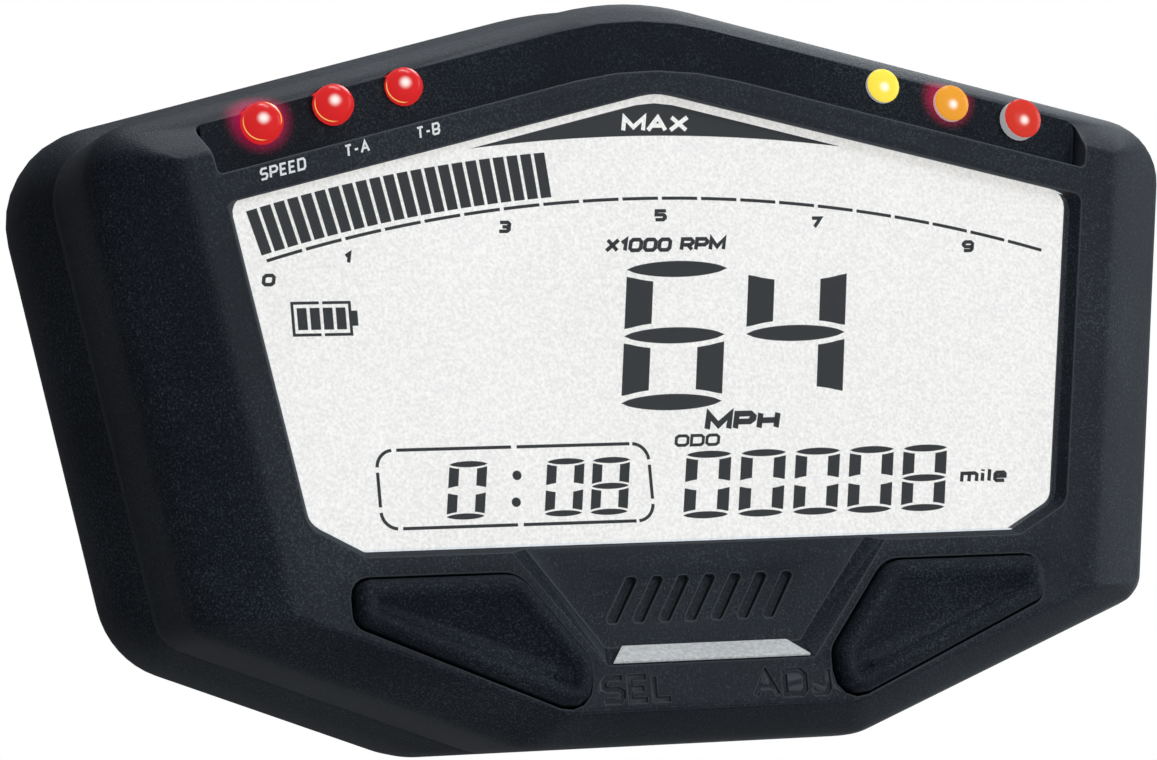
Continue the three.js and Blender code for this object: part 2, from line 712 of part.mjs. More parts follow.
const grommet = turned(
  [[0, plateFront - 1.3], [7, plateFront - 1.3], [7, plateFront - 0.2], [5.7, plateFront - 0.1],
    [5.7, totalDepth + 0.1], [7.6, totalDepth + 0.1], [7.4, totalDepth + 1], [4.6, totalDepth + 2.6],
    [0, totalDepth + 2.6]],
  glandPlace,
  24,
);
const leadHoles = [90, 210, 330].map((degrees) => {
  const angle = THREE.MathUtils.degToRad(degrees);
  const place = [glandPlace[0] + 2.4 * Math.cos(angle), glandPlace[1] + 2.4 * Math.sin(angle)];
  return rod(1.3, plateFront - 2, totalDepth + 4, place, 12);
});
addPart("cable_grommet", without(grommet, leadHoles), material.rubber);

export default cluster;
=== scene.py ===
"""A motorcycle's digital instrument cluster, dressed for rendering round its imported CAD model.

Lengths are in millimetres in the part's own frame, and at() turns them into metres: +X is to the reader's
right, +Z is up and the display faces -Y. Depth is measured backwards from the front face.
"""
import json
import math

import bmesh
import bpy
from mathutils import Matrix, Vector

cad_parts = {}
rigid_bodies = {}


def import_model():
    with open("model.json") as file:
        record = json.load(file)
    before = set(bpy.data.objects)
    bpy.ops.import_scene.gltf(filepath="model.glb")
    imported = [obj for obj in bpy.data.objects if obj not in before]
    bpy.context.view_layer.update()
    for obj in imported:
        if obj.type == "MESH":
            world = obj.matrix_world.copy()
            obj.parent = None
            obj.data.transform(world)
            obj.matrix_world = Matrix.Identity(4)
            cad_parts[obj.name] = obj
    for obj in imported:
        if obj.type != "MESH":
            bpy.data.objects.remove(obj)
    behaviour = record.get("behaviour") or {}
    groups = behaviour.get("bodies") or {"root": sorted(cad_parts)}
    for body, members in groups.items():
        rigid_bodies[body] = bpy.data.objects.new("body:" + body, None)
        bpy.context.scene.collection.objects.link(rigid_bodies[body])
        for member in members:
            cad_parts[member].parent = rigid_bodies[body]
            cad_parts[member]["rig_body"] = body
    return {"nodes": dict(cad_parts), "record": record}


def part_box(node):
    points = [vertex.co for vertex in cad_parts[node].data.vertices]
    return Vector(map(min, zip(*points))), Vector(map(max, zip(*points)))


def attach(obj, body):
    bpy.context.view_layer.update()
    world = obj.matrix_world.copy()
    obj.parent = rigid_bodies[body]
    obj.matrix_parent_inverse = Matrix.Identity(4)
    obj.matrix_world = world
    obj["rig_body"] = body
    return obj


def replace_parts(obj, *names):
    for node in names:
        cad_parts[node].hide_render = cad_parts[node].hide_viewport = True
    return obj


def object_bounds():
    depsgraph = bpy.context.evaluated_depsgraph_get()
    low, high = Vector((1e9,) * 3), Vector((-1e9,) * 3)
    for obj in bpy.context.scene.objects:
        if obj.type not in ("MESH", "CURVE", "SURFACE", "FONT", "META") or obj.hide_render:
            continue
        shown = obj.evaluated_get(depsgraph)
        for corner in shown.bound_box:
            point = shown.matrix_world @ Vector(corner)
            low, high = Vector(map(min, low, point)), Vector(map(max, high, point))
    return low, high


MM = 0.001
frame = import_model()
cad_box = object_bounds()
front_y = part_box("front_housing")[0].y / MM


def at(x, depth, z):
    return Vector((x, front_y + depth, z)) * MM


# ---------- camera, lights and floor ----------


def add_camera():
    """A long lens, to the left of the display and below it, rolled a little."""
    swing = math.radians(23.87)
    lift = math.radians(9.04)
    roll = math.radians(5.3)
    distance = 690.8
    target = at(-13.95, 0, -2.09)
    ahead = Vector((math.sin(swing) * math.cos(lift), math.cos(swing) * math.cos(lift), math.sin(lift)))
    level = Vector((math.cos(swing), -math.sin(swing), 0))
    upright = level.cross(ahead)
    right = level * math.cos(roll) - upright * math.sin(roll)
    up = level * math.sin(roll) + upright * math.cos(roll)
    data = bpy.data.cameras.new("camera")
    data.lens = 181.6
    data.sensor_width = 36
    data.clip_start = 0.01
    camera = bpy.data.objects.new("camera", data)
    turn = Matrix((right, up, -ahead)).transposed().to_4x4()
    camera.matrix_world = Matrix.Translation(target - ahead * distance * MM) @ turn
    bpy.context.scene.collection.objects.link(camera)
    bpy.context.scene.camera = camera


def add_area_light(name, place, aim, size, power):
    """A soft, slightly cool rectangular light. Its place, aim and size are in millimetres."""
    data = bpy.data.lights.new(name, "AREA")
    data.shape = "RECTANGLE"
    data.size, data.size_y = [side * MM for side in size]
    data.energy = power
    data.color = (0.9, 0.95, 1)
    light = bpy.data.objects.new(name, data)
    light.location = Vector(place) * MM
    light.rotation_euler = (Vector(aim) - Vector(place)).to_track_quat("-Z", "Y").to_euler()
    bpy.context.scene.collection.objects.link(light)


def add_floor():
    """A plain pale sheet well under the object. It throws back less light than the eye sees in it.

    Its reach and its distance under the object are in metres.
    """
    reach, below, steps, glow = 2.6, 0.13, 8, 0.6
    bm = bmesh.new()
    bmesh.ops.create_grid(bm, x_segments=steps, y_segments=steps, size=reach)
    for vert in bm.verts:
        vert.co.z = cad_box[0].z - below
    mesh = bpy.data.meshes.new("floor")
    bm.to_mesh(mesh)
    bm.free()
    floor = bpy.data.objects.new("floor", mesh)
    material = grained("pale_floor", (0.40, 0.40, 0.395), (0.44, 0.44, 0.435), 6, 0.02, (0.7, 0.85),
                       specular=0.1)
    nodes, links = material.node_tree.nodes, material.node_tree.links
    seen = nodes.new("ShaderNodeLightPath")
    strength = nodes.new("ShaderNodeMath")
    strength.operation = "MULTIPLY"
    strength.inputs[1].default_value = glow
    links.new(seen.outputs["Is Camera Ray"], strength.inputs[0])
    links.new(strength.outputs[0], nodes["Principled BSDF"].inputs["Emission Strength"])
    nodes["Principled BSDF"].inputs["Emission Color"].default_value = (0.98, 0.98, 0.97, 1)
    mesh.materials.append(material)
    bpy.context.scene.collection.objects.link(floor)


def add_lights():
    add_area_light("key_from_right_front", (260, -860, 160), (0, -20, 0), (500, 500), 4.0)
    add_area_light("top_from_above", (60, 20, 480), (20, -10, 20), (300, 120), 1.3)
    add_area_light("top_from_behind", (360, 260, 420), (20, 0, 20), (300, 240), 1.2)
    add_area_light("side_from_right", (560, -60, 60), (30, -10, 0), (180, 420), 0.8)
    add_area_light("edge_from_behind", (420, 380, -120), (40, 0, -20), (400, 260), 0.6)


def add_world():
    """White to the eye, and a much dimmer light on the object."""
    world = bpy.data.worlds.new("studio")
    world.use_nodes = True
    nodes, links = world.node_tree.nodes, world.node_tree.links
    nodes.clear()

    def background(colour, strength):
        shader = nodes.new("ShaderNodeBackground")
        shader.inputs["Color"].default_value = (*colour, 1)
        shader.inputs["Strength"].default_value = strength
        return shader

    to_the_eye = background((1, 1, 1), 1.0)
    on_the_object = background((0.93, 0.96, 1), 0.2)
    ray = nodes.new("ShaderNodeLightPath")
    mix = nodes.new("ShaderNodeMixShader")
    out = nodes.new("ShaderNodeOutputWorld")
    links.new(ray.outputs["Is Camera Ray"], mix.inputs[0])
    links.new(on_the_object.outputs[0], mix.inputs[1])
    links.new(to_the_eye.outputs[0], mix.inputs[2])
    links.new(mix.outputs[0], out.inputs["Surface"])
    bpy.context.scene.world = world


# ---------- materials ----------

BLOTCH_SIZE = 18.0
BLOTCH_SHARE = 0.3
# Painted highlight: the colour that rounded edges are lightened to.
EDGE_HIGHLIGHT = (0.075, 0.082, 0.092)


def noise(material, size, detail=2.0):
    """A socket of noise that is fixed to the object, with a grain in millimetres."""
    nodes, links = material.node_tree.nodes, material.node_tree.links
    place = nodes.new("ShaderNodeTexCoord")
    texture = nodes.new("ShaderNodeTexNoise")
    texture.inputs["Scale"].default_value = 1 / (size * MM)
    texture.inputs["Detail"].default_value = detail
    links.new(place.outputs["Object"], texture.inputs["Vector"])
    return texture.outputs["Fac"]


def mapped(material, value, limits, results=(0.0, 1.0), interpolation="LINEAR"):
    """A socket that runs between two results while another socket runs between two limits."""
    nodes, links = material.node_tree.nodes, material.node_tree.links
    spread = nodes.new("ShaderNodeMapRange")
    spread.interpolation_type = interpolation
    spread.inputs["From Min"].default_value, spread.inputs["From Max"].default_value = limits
    spread.inputs["To Min"].default_value, spread.inputs["To Max"].default_value = results
    links.new(value, spread.inputs["Value"])
    return spread.outputs["Result"]


def product(material, first, second):
    """A socket that is two others multiplied."""
    nodes, links = material.node_tree.nodes, material.node_tree.links
    times = nodes.new("ShaderNodeMath")
    times.operation = "MULTIPLY"
    links.new(first, times.inputs[0])
    links.new(second, times.inputs[1])
    return times.outputs[0]


def colour_ramp(material, share, stops):
    """A socket whose colour follows another socket through (position, colour) stops."""
    nodes, links = material.node_tree.nodes, material.node_tree.links
    ramp = nodes.new("ShaderNodeValToRGB")
    elements = ramp.color_ramp.elements
    for k, (position, colour) in enumerate(stops):
        stop = elements[k] if k < len(elements) else elements.new(position)
        stop.position = position
        stop.color = (*colour, 1)
    links.new(share, ramp.inputs["Fac"])
    return ramp.outputs["Color"]


def span_from(material, place, limits, results=(1.0, 0.0)):
    """A socket that runs smoothly between two results over a range of distances from a place.

    The place is in metres and the distances are in millimetres.
    """
    nodes, links = material.node_tree.nodes, material.node_tree.links
    where = nodes.new("ShaderNodeTexCoord")
    span = nodes.new("ShaderNodeVectorMath")
    span.operation = "DISTANCE"
    span.inputs[1].default_value = place
    links.new(where.outputs["Object"], span.inputs[0])
    return mapped(material, span.outputs["Value"], [limit * MM for limit in limits], results, "SMOOTHERSTEP")


def edge_share(material, rounded):
    """A socket that is 1 on edges and 0 elsewhere.

    rounded is the rounded normal, and an edge is where it turns away from the face's own normal.
    """
    flat, edge = 0.985, 0.93
    nodes, links = material.node_tree.nodes, material.node_tree.links
    own = nodes.new("ShaderNodeNewGeometry")
    turn = nodes.new("ShaderNodeVectorMath")
    turn.operation = "DOT_PRODUCT"
    links.new(rounded, turn.inputs[0])
    links.new(own.outputs["True Normal"], turn.inputs[1])
    return mapped(material, turn.outputs["Value"], (flat, edge))


def tinted(material, base, colour, share):
    """A socket that mixes a colour into a base colour or socket by the share that another socket gives."""
    nodes, links = material.node_tree.nodes, material.node_tree.links
    tint = nodes.new("ShaderNodeMix")
    tint.data_type = "RGBA"
    if isinstance(base, tuple):
        tint.inputs[6].default_value = (*base, 1)
    else:
        links.new(base, tint.inputs[6])
    tint.inputs[7].default_value = (*colour, 1)
    links.new(share, tint.inputs[0])
    return tint.outputs[2]


def lit(material, glow, strength):
    """Adds a glow to a material, from an even colour or a socket."""
    surface = material.node_tree.nodes["Principled BSDF"]
    if isinstance(glow, tuple):
        surface.inputs["Emission Color"].default_value = (*glow, 1)
    else:
        material.node_tree.links.new(glow, surface.inputs["Emission Color"])
    surface.inputs["Emission Strength"].default_value = strength
    return material


def grained(
    name, dark, light, grain, bump, roughness, metallic=0.0, specular=0.5, detail=2.0, speckle=None,
    rounding=0.0,
):
    """A Principled material whose colour, roughness and bump vary at a grain in millimetres.

    roughness is a pair of limits. speckle is the colour of sparse fine points, if there are any. rounding
    is the radius that the shading gives to edges, and those edges also get a painted highlight: a lighter
    colour.
    """
    dark_stop, light_stop, speckle_stop = 0.40, 0.58, 0.68
    material = bpy.data.materials.new(name)
    material.use_nodes = True
    nodes, links = material.node_tree.nodes, material.node_tree.links
    surface = nodes["Principled BSDF"]
    fine = noise(material, grain, detail)
    both = nodes.new("ShaderNodeMix")
    both.data_type = "FLOAT"
    both.inputs[0].default_value = BLOTCH_SHARE
    links.new(fine, both.inputs[2])
    links.new(noise(material, BLOTCH_SIZE), both.inputs[3])
    stops = [(dark_stop, dark), (light_stop, light)]
    if speckle:
        stops.append((speckle_stop, speckle))
    colour = colour_ramp(material, both.outputs[0], stops)
    links.new(mapped(material, both.outputs[0], (0, 1), roughness), surface.inputs["Roughness"])
    relief = nodes.new("ShaderNodeBump")
    relief.inputs["Strength"].default_value = 1.0
    relief.inputs["Distance"].default_value = bump * MM
    links.new(fine, relief.inputs["Height"])
    if rounding:
        edge = nodes.new("ShaderNodeBevel")
        edge.samples = 6
        edge.inputs["Radius"].default_value = rounding * MM
        links.new(edge.outputs["Normal"], relief.inputs["Normal"])
        # Painted highlight: the base colour turns lighter on rounded edges.
        colour = tinted(material, colour, EDGE_HIGHLIGHT, edge_share(material, edge.outputs["Normal"]))
    links.new(colour, surface.inputs["Base Color"])
    links.new(relief.outputs["Normal"], surface.inputs["Normal"])
    surface.inputs["Metallic"].default_value = metallic
    surface.inputs["Specular IOR Level"].default_value = specular
    return material


def clear_lens_material():
    """A thin clear window: it lets the display through and adds a faint reflection."""
    smear_size, roughness, coated_ior = 9, (0.12, 0.2), 1.12
    material = bpy.data.materials.new("clear_lens")
    material.use_nodes = True
    nodes, links = material.node_tree.nodes, material.node_tree.links
    nodes.clear()
    through = nodes.new("ShaderNodeBsdfTransparent")
    through.inputs["Color"].default_value = (0.985, 0.99, 0.99, 1)
    gloss = nodes.new("ShaderNodeBsdfGlossy")
    gloss.inputs["Color"].default_value = (0.9, 0.95, 1, 1)
    links.new(mapped(material, noise(material, smear_size), (0, 1), roughness), gloss.inputs["Roughness"])
    angle = nodes.new("ShaderNodeFresnel")
    angle.inputs["IOR"].default_value = coated_ior
    mix = nodes.new("ShaderNodeMixShader")
    out = nodes.new("ShaderNodeOutputMaterial")
    links.new(angle.outputs[0], mix.inputs[0])
    links.new(through.outputs[0], mix.inputs[1])
    links.new(gloss.outputs[0], mix.inputs[2])
    links.new(mix.outputs[0], out.inputs["Surface"])
    return material


def lamp_material(name, body, white_spot, white_spot_place, white_spot_radius, glint_arcs):
    """Tinted epoxy, lit from within.

    Its glow turns white towards the place that it is given: the glowing chip inside the lamp, and a painted
    highlight on its dome. Each arc is a painted glint, of a colour, a (place, radius, width) and a
    (place, radius): it follows the edge of the first ball, that wide, where it lies inside the second.
    """
    unlit_shares, full_share = (0.3, 0.36), 0.6
    dark, light = [[c * share for c in body] for share in unlit_shares]
    material = grained(name, dark, light, 0.8, 0.004, (0.2, 0.28), specular=0.12)
    glow = body
    for colour, (place, radius, width), (near, reach) in glint_arcs:
        rising = span_from(material, place, (radius - width, radius), (0, 1))
        falling = span_from(material, place, (radius, radius + width))
        inside = span_from(material, near, (reach * full_share, reach))
        on_the_glint = product(material, product(material, rising, falling), inside)
        # Painted glint: a crescent of warm colour in the glow, standing for a reflection.
        glow = tinted(material, glow, colour, on_the_glint)
    # The glow turns white round one place: the glowing chip and a painted highlight.
    glow = tinted(material, glow, white_spot, span_from(material, white_spot_place, (0, white_spot_radius)))
    return lit(material, glow, 1.0)


def add_halos(material, halos):
    """The glow that strong lamps give the plastic round them, from (place, radius, colour) rows."""
    full_share = 0.3
    glow = (0, 0, 0)
    for place, radius, colour in halos:
        glow = tinted(material, glow, colour, span_from(material, place, (radius * full_share, radius)))
    lit(material, glow, 1.0)


def display_material():
    """The bright, faintly grainy ground of a backlit display."""
    material = grained("display_glass", (0.24, 0.24, 0.235), (0.3, 0.3, 0.295), 0.3, 0.002, (0.34, 0.42),
                       specular=0.12)
    grain = noise(material, 0.4, detail=1.0)
    ground = colour_ramp(material, grain, [(0.3, (0.755, 0.735, 0.71)), (0.7, (0.985, 0.955, 0.925))])
    return lit(material, ground, 0.775)


looks = {
    "housing": grained("housing_plastic", (0.0022, 0.0042, 0.0095), (0.0135, 0.0192, 0.0275), 0.24, 0.04,
                       (0.52, 0.66), specular=0.24, speckle=(0.042, 0.050, 0.060), rounding=0.35, detail=0.6),
    "cover": grained("cover_plastic", (0.0026, 0.0048, 0.0105), (0.0160, 0.0225, 0.0315), 0.24, 0.04,
                     (0.54, 0.68), specular=0.24, speckle=(0.046, 0.054, 0.064), rounding=0.35, detail=0.6),
    "fascia": grained("fascia_plastic", (0.0018, 0.0038, 0.0080), (0.0110, 0.0160, 0.0230), 0.24, 0.01,
                      (0.56, 0.66), specular=0.12, speckle=(0.032, 0.039, 0.048), detail=0.6),
    "button": grained("button_rubber", (0.0022, 0.0042, 0.0095), (0.0125, 0.0175, 0.0250), 0.24, 0.03,
                      (0.6, 0.74), specular=0.2, speckle=(0.038, 0.045, 0.054), detail=0.6),
    "rubber": grained("black_rubber", (0.006, 0.006, 0.006), (0.016, 0.016, 0.017), 0.5, 0.05, (0.7, 0.85)),
    "lens": clear_lens_material(),
    "display": display_material(),
    "ink": lit(grained("display_segment", (0.010, 0.010, 0.010), (0.014, 0.013, 0.013), 0.4, 0.002,
                       (0.45, 0.55), specular=0.04), (1, 1, 1), 0.006),
    # The white print also glows a little: painted light, since the print is no lamp.
    "print": lit(grained("white_print", (0.78, 0.79, 0.8), (0.9, 0.9, 0.9), 0.2, 0.01, (0.5, 0.65)),
                 (1, 1, 1), 0.12),
    "guide": grained("clear_acrylic", (0.8, 0.82, 0.82), (0.9, 0.92, 0.92), 2, 0.01, (0.1, 0.2)),
    "white_plastic": grained("white_plastic", (0.7, 0.7, 0.68), (0.82, 0.82, 0.8), 0.6, 0.02, (0.45, 0.6)),
    "board": grained("circuit_board", (0.008, 0.07, 0.03), (0.02, 0.12, 0.05), 0.9, 0.02, (0.3, 0.45)),
    "chip": grained("black_epoxy", (0.014, 0.014, 0.015), (0.03, 0.03, 0.032), 0.25, 0.02, (0.5, 0.65)),
    "connector": grained("natural_nylon", (0.62, 0.58, 0.48), (0.76, 0.72, 0.6), 0.7, 0.02, (0.4, 0.55)),
    "steel": grained("zinc_plated_steel", (0.42, 0.43, 0.45), (0.62, 0.63, 0.64), 0.5, 0.01,
                     (0.28, 0.42), metallic=1),
    "capacitor": grained("aluminium_can", (0.6, 0.6, 0.62), (0.75, 0.75, 0.77), 0.5, 0.01, (0.25, 0.4),
                         metallic=1),
    # The plating glows a little: a painted reflection that lightens its shaded lower side.
    "chrome": lit(grained("plating_with_painted_reflection", (0.72, 0.73, 0.75), (0.86, 0.87, 0.88), 0.6, 0.003, (0.24, 0.34),
                          metallic=1), (0.9, 0.92, 0.95), 0.34),
    "brass": grained("turned_brass", (0.52, 0.34, 0.12), (0.68, 0.47, 0.19), 0.4, 0.01, (0.25, 0.4),
                     metallic=1),
    # The bar is a pale grey, far lighter than the housing round it.
    "accent": grained("pale_grey_bar", (0.66, 0.66, 0.65), (0.86, 0.86, 0.84), 0.5, 0.02, (0.42, 0.6),
                      specular=0.6),
}

slot_of = {part["node"]: part["material_slot"] for part in frame["record"]["subparts"]}


# ---------- mesh helpers ----------


def finish_piece(name, mesh, look, body, smooth_angle=None):
    """Makes a mesh a piece of the object. Its faces are shaded flat if no smooth angle is given."""
    piece = bpy.data.objects.new(name, mesh)
    bpy.context.scene.collection.objects.link(piece)
    mesh.materials.clear()
    mesh.materials.append(look)
    if smooth_angle is not None:
        mesh.shade_smooth()
        mesh.set_sharp_from_angle(angle=math.radians(smooth_angle))
    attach(piece, body)
    return piece


def mesh_from(name, bm):
    """A mesh made from a bmesh, which is used up, with its faces turned outwards."""
    bmesh.ops.recalc_face_normals(bm, faces=bm.faces)
    mesh = bpy.data.meshes.new(name)
    bm.to_mesh(mesh)
    bm.free()
    return mesh


def cad_copy(node):
    """A CAD node's solid with its facets' shared corners merged and its flat faces made whole."""
    weld, flat_angle = 0.002, 0.6
    bm = bmesh.new()
    bm.from_mesh(frame["nodes"][node].data)
    bmesh.ops.remove_doubles(bm, verts=bm.verts, dist=weld * MM)
    bmesh.ops.dissolve_limit(
        bm, angle_limit=math.radians(flat_angle), verts=bm.verts, edges=bm.edges,
        use_dissolve_boundaries=False,
    )
    return bm


def soften(bm, width, sharp_angle):
    """Rounds every edge that turns by more than an angle in degrees."""
    limit = math.radians(sharp_angle)
    edges = [e for e in bm.edges if len(e.link_faces) == 2 and e.calc_face_angle(0) > limit]
    bmesh.ops.bevel(
        bm, geom=edges, offset=width * MM, segments=2, profile=0.5, affect="EDGES", clamp_overlap=True,
        offset_type="OFFSET",
    )


def body_of_node(node):
    return frame["nodes"][node]["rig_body"]


def dressed(node, name, smooth_angle, look=None, width=0.0, sharp_angle=30):
    """A finer copy of a CAD node that stands for it, with its edges rounded if a width is given."""
    bm = cad_copy(node)
    if width:
        soften(bm, width, sharp_angle)
    slot = slot_of[node]
    look = look or looks[slot]
    piece = finish_piece(name, mesh_from(name, bm), look, body_of_node(node), smooth_angle)
    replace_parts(piece, node)
    return piece


# ---------- flat figures ----------


def add_plate(bm, points, front, back):
    """A flat plate with an outline of (x, z) points, between two depths."""
    rings = [[bm.verts.new(at(x, depth, z)) for x, z in points] for depth in (front, back)]
    bm.faces.new(rings[0])
    bm.faces.new(list(reversed(rings[1])))
    count = len(points)
    for k in range(count):
        after = (k + 1) % count
        bm.faces.new((rings[0][k], rings[1][k], rings[1][after], rings[0][after]))


def ribbon(points, width, closed):
    """The left and right edges of a line of even width through (x, z) points.

    Where the line turns sharply, its mitre is cut to the length that least_cosine allows.
    """
    least_cosine = 0.4
    count = len(points)
    sides = []
    for k, (x, z) in enumerate(points):
        here = Vector((x, z))
        before = Vector(points[k - 1]) if closed or k > 0 else None
        after = Vector(points[(k + 1) % count]) if closed or k < count - 1 else None
        into = (here - before).normalized() if before is not None else (after - here).normalized()
        out = (after - here).normalized() if after is not None else into
        across = Vector((-(into.y + out.y), into.x + out.x)).normalized()
        reach = width / 2 / max(across.dot(Vector((-into.y, into.x))), least_cosine)
        sides.append((here + across * reach, here - across * reach))
    return sides


def add_line(bm, points, width, front, back, closed=False):
    """A line of even width through (x, z) points, as a plate between two depths."""
    sides = ribbon(points, width, closed)
    left = [tuple(pair[0]) for pair in sides]
    right = [tuple(pair[1]) for pair in sides]
    if not closed:
        add_plate(bm, left + right[::-1], front, back)
        return
    count = len(points)
    rings = [
        [bm.verts.new(at(x, depth, z)) for x, z in edge]
        for edge, depth in ((left, front), (left, back), (right, back), (right, front))
    ]
    for ring, beside in zip(rings, rings[1:] + rings[:1]):
        for k in range(count):
            after = (k + 1) % count
            bm.faces.new((ring[k], ring[after], beside[after], beside[k]))


def add_stroke(bm, stroke, width, front, back):
    """A line that is closed if its last point is its first."""
    closed = stroke[0] == stroke[-1]
    add_line(bm, stroke[:-1] if closed else stroke, width, front, back, closed)


def arc(centre, radius, start, end, steps):
    """Points on an arc, with angles in degrees."""
    turns = [math.radians(start + (end - start) * k / steps) for k in range(steps + 1)]
    return [(centre[0] + radius * math.cos(t), centre[1] + radius * math.sin(t)) for t in turns]


# ---------- lettering ----------

CUT = 0.2
WAIST = 0.45
ROUND = [
    (CUT, 0), (1 - CUT, 0), (1, CUT), (1, 1 - CUT), (1 - CUT, 1), (CUT, 1), (0, 1 - CUT), (0, CUT), (CUT, 0)
]
BOWL = [(0, 1), (1 - CUT, 1), (1, 1 - CUT), (1, WAIST + CUT), (1 - CUT, WAIST), (0, WAIST)]
# Each letter is a width and its strokes, whose points are shares of that width and of the height.
LETTERS = {
    "0": (1, [ROUND]),
    "O": (1, [ROUND]),
    "D": (1, [[(0, 0), (1 - CUT, 0), (1, CUT), (1, 1 - CUT), (1 - CUT, 1), (0, 1), (0, 0)]]),
    "1": (0.45, [[(0, 0.72), (0.8, 1), (0.8, 0)]]),
    "3": (1, [[(0, 1), (1 - CUT, 1), (1, 1 - CUT), (1, 0.65), (0.85, 0.5), (0.3, 0.5)],
              [(0.85, 0.5), (1, 0.35), (1, CUT), (1 - CUT, 0), (0, 0)]]),
    "5": (1, [[(1, 1), (0, 1), (0, 0.56), (1 - CUT, 0.56), (1, 0.56 - CUT), (1, CUT), (1 - CUT, 0), (0, 0)]]),
    "7": (0.9, [[(0, 1), (1, 1), (0.4, 0)]]),
    "9": (1, [[(1, WAIST), (CUT, WAIST), (0, WAIST + CUT), (0, 1 - CUT), (CUT, 1), (1 - CUT, 1), (1, 1 - CUT),
               (1, CUT), (1 - CUT, 0), (0.1, 0)]]),
    "X": (1, [[(0, 0), (1, 1)], [(0, 1), (1, 0)]]),
    "R": (1, [[(0, 0), *BOWL], [(0.55, WAIST), (1, 0)]]),
    "P": (1, [[(0, 0), *BOWL]]),
    "M": (1.25, [[(0, 0), (0, 1), (0.5, 0.25), (1, 1), (1, 0)]]),
    "A": (1.1, [[(0, 0), (0.5, 1), (1, 0)], [(0.2, 0.36), (0.8, 0.36)]]),
    "H": (1, [[(0, 0), (0, 1)], [(1, 0), (1, 1)], [(0, 0.5), (1, 0.5)]]),
    "S": (0.9, [[(1, 1), (CUT, 1), (0, 1 - CUT), (0, 0.5 + CUT / 2), (CUT, 0.5), (1 - CUT, 0.5),
                 (1, 0.5 - CUT / 2), (1, CUT), (1 - CUT, 0), (0, 0)]]),
    "E": (0.8, [[(1, 1), (0, 1), (0, 0), (1, 0)], [(0, 0.5), (0.85, 0.5)]]),
    "L": (0.75, [[(0, 1), (0, 0), (1, 0)]]),
    "T": (0.85, [[(0, 1), (1, 1)], [(0.5, 1), (0.5, 0)]]),
    "B": (0.9, [[(0, 0), *BOWL], [(1 - CUT, WAIST), (1, WAIST - CUT / 2), (1, CUT), (1 - CUT, 0), (0, 0)]]),
    "J": (0.8, [[(1, 1), (1, CUT), (1 - CUT, 0), (CUT, 0), (0, CUT)]]),
    "-": (0.5, [[(0, WAIST), (1, WAIST)]]),
    "m": (1.2, [[(0, 0), (0, 0.7), (0.85, 0.7), (1, 0.58), (1, 0)], [(0.5, 0.7), (0.5, 0)]]),
    "i": (0.12, [[(0.5, 0), (0.5, 0.7)], [(0.5, 0.86), (0.5, 1)]]),
    "l": (0.12, [[(0.5, 0), (0.5, 1)]]),
    "e": (0.8, [[(0, 0.36), (1, 0.36), (1, 0.56), (0.84, 0.7), (0.16, 0.7), (0, 0.56), (0, 0.14), (0.16, 0),
                 (0.95, 0)]]),
    " ": (0.4, []),
}


def text_strokes(text, centre, height, stretch, gap, lean=0.0, slope=0.0):
    """The strokes of a line of text as lists of (x, z) points about its centre.

    stretch is the width of a square letter over its height, gap is in letter heights, lean tips the letters
    to the right and slope is the rise of the line per millimetre.
    """
    widths = [LETTERS[letter][0] * stretch * height for letter in text]
    total = sum(widths) + gap * height * (len(text) - 1)
    left = -total / 2
    strokes = []
    for letter, width in zip(text, widths):
        for stroke in LETTERS[letter][1]:
            line = []
            for u, v in stroke:
                x = left + u * width + lean * height * (v - 0.5)
                line.append((centre[0] + x, centre[1] + (v - 0.5) * height + slope * x))
            strokes.append(line)
        left += width + gap * height
    return strokes


def add_text(bm, text, centre, height, weight, front, back, **style):
    """A line of text whose strokes are weight millimetres wide and keep inside its height."""
    for stroke in text_strokes(text, centre, height - weight, **style):
        add_stroke(bm, stroke, weight, front, back)


# ---------- display figures ----------

glass_front = (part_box("lcd_glass")[0].y / MM) - front_y
ink_back = glass_front - 0.02
ink_front = ink_back - 0.07
LIT_BY_DIGIT = {"0": "abcdef", "4": "bcfg", "6": "acdefg", "8": "abcdefg"}


def add_digit(bm, digit, left, base, width, height, lean, stroke, swell):
    """A seven-segment figure with lens-shaped level segments. left and base are its lower left corner.

    lean is how far its top lies to the right of its foot, stroke is the share of the width that an upright
    segment takes, and swell is half the greatest thickness of a level segment.
    """
    gap, bluntness, tip = 0.05 * width, 0.7, 0.03
    level_steps, upright_steps = 14, 4

    def skewed(u, z):
        return (left + u * width + lean * z / height, base + z)

    def half(u):
        return swell * max(1 - (2 * u - 1) ** 2, 0.0) ** bluntness

    def level_segment(z):
        shares = [k / level_steps for k in range(level_steps + 1)]
        upper = [skewed(u, z + half(u)) for u in shares]
        lower = [skewed(u, z - half(u)) for u in shares[-2:0:-1]]
        return upper + lower

    def upright_segment(is_right, low, high):
        shares = [stroke * k / upright_steps for k in range(upright_steps + 1)]
        if is_right:
            shares = [1 - share for share in reversed(shares)]
        inner = [min(max(share, tip), 1 - tip) for share in shares]
        foot = [skewed(u, low + half(i) + gap) for u, i in zip(shares, inner)]
        head = [skewed(u, high - half(i) - gap) for u, i in zip(shares, inner)]
        return foot + head[::-1]

    middle = height / 2
    outlines = {
        "a": lambda: level_segment(height),
        "b": lambda: upright_segment(True, middle, height),
        "c": lambda: upright_segment(True, 0, middle),
        "d": lambda: level_segment(0),
        "e": lambda: upright_segment(False, 0, middle),
        "f": lambda: upright_segment(False, middle, height),
        "g": lambda: level_segment(middle),
    }
    for segment in LIT_BY_DIGIT[digit]:
        add_plate(bm, outlines[segment](), ink_front, ink_back)


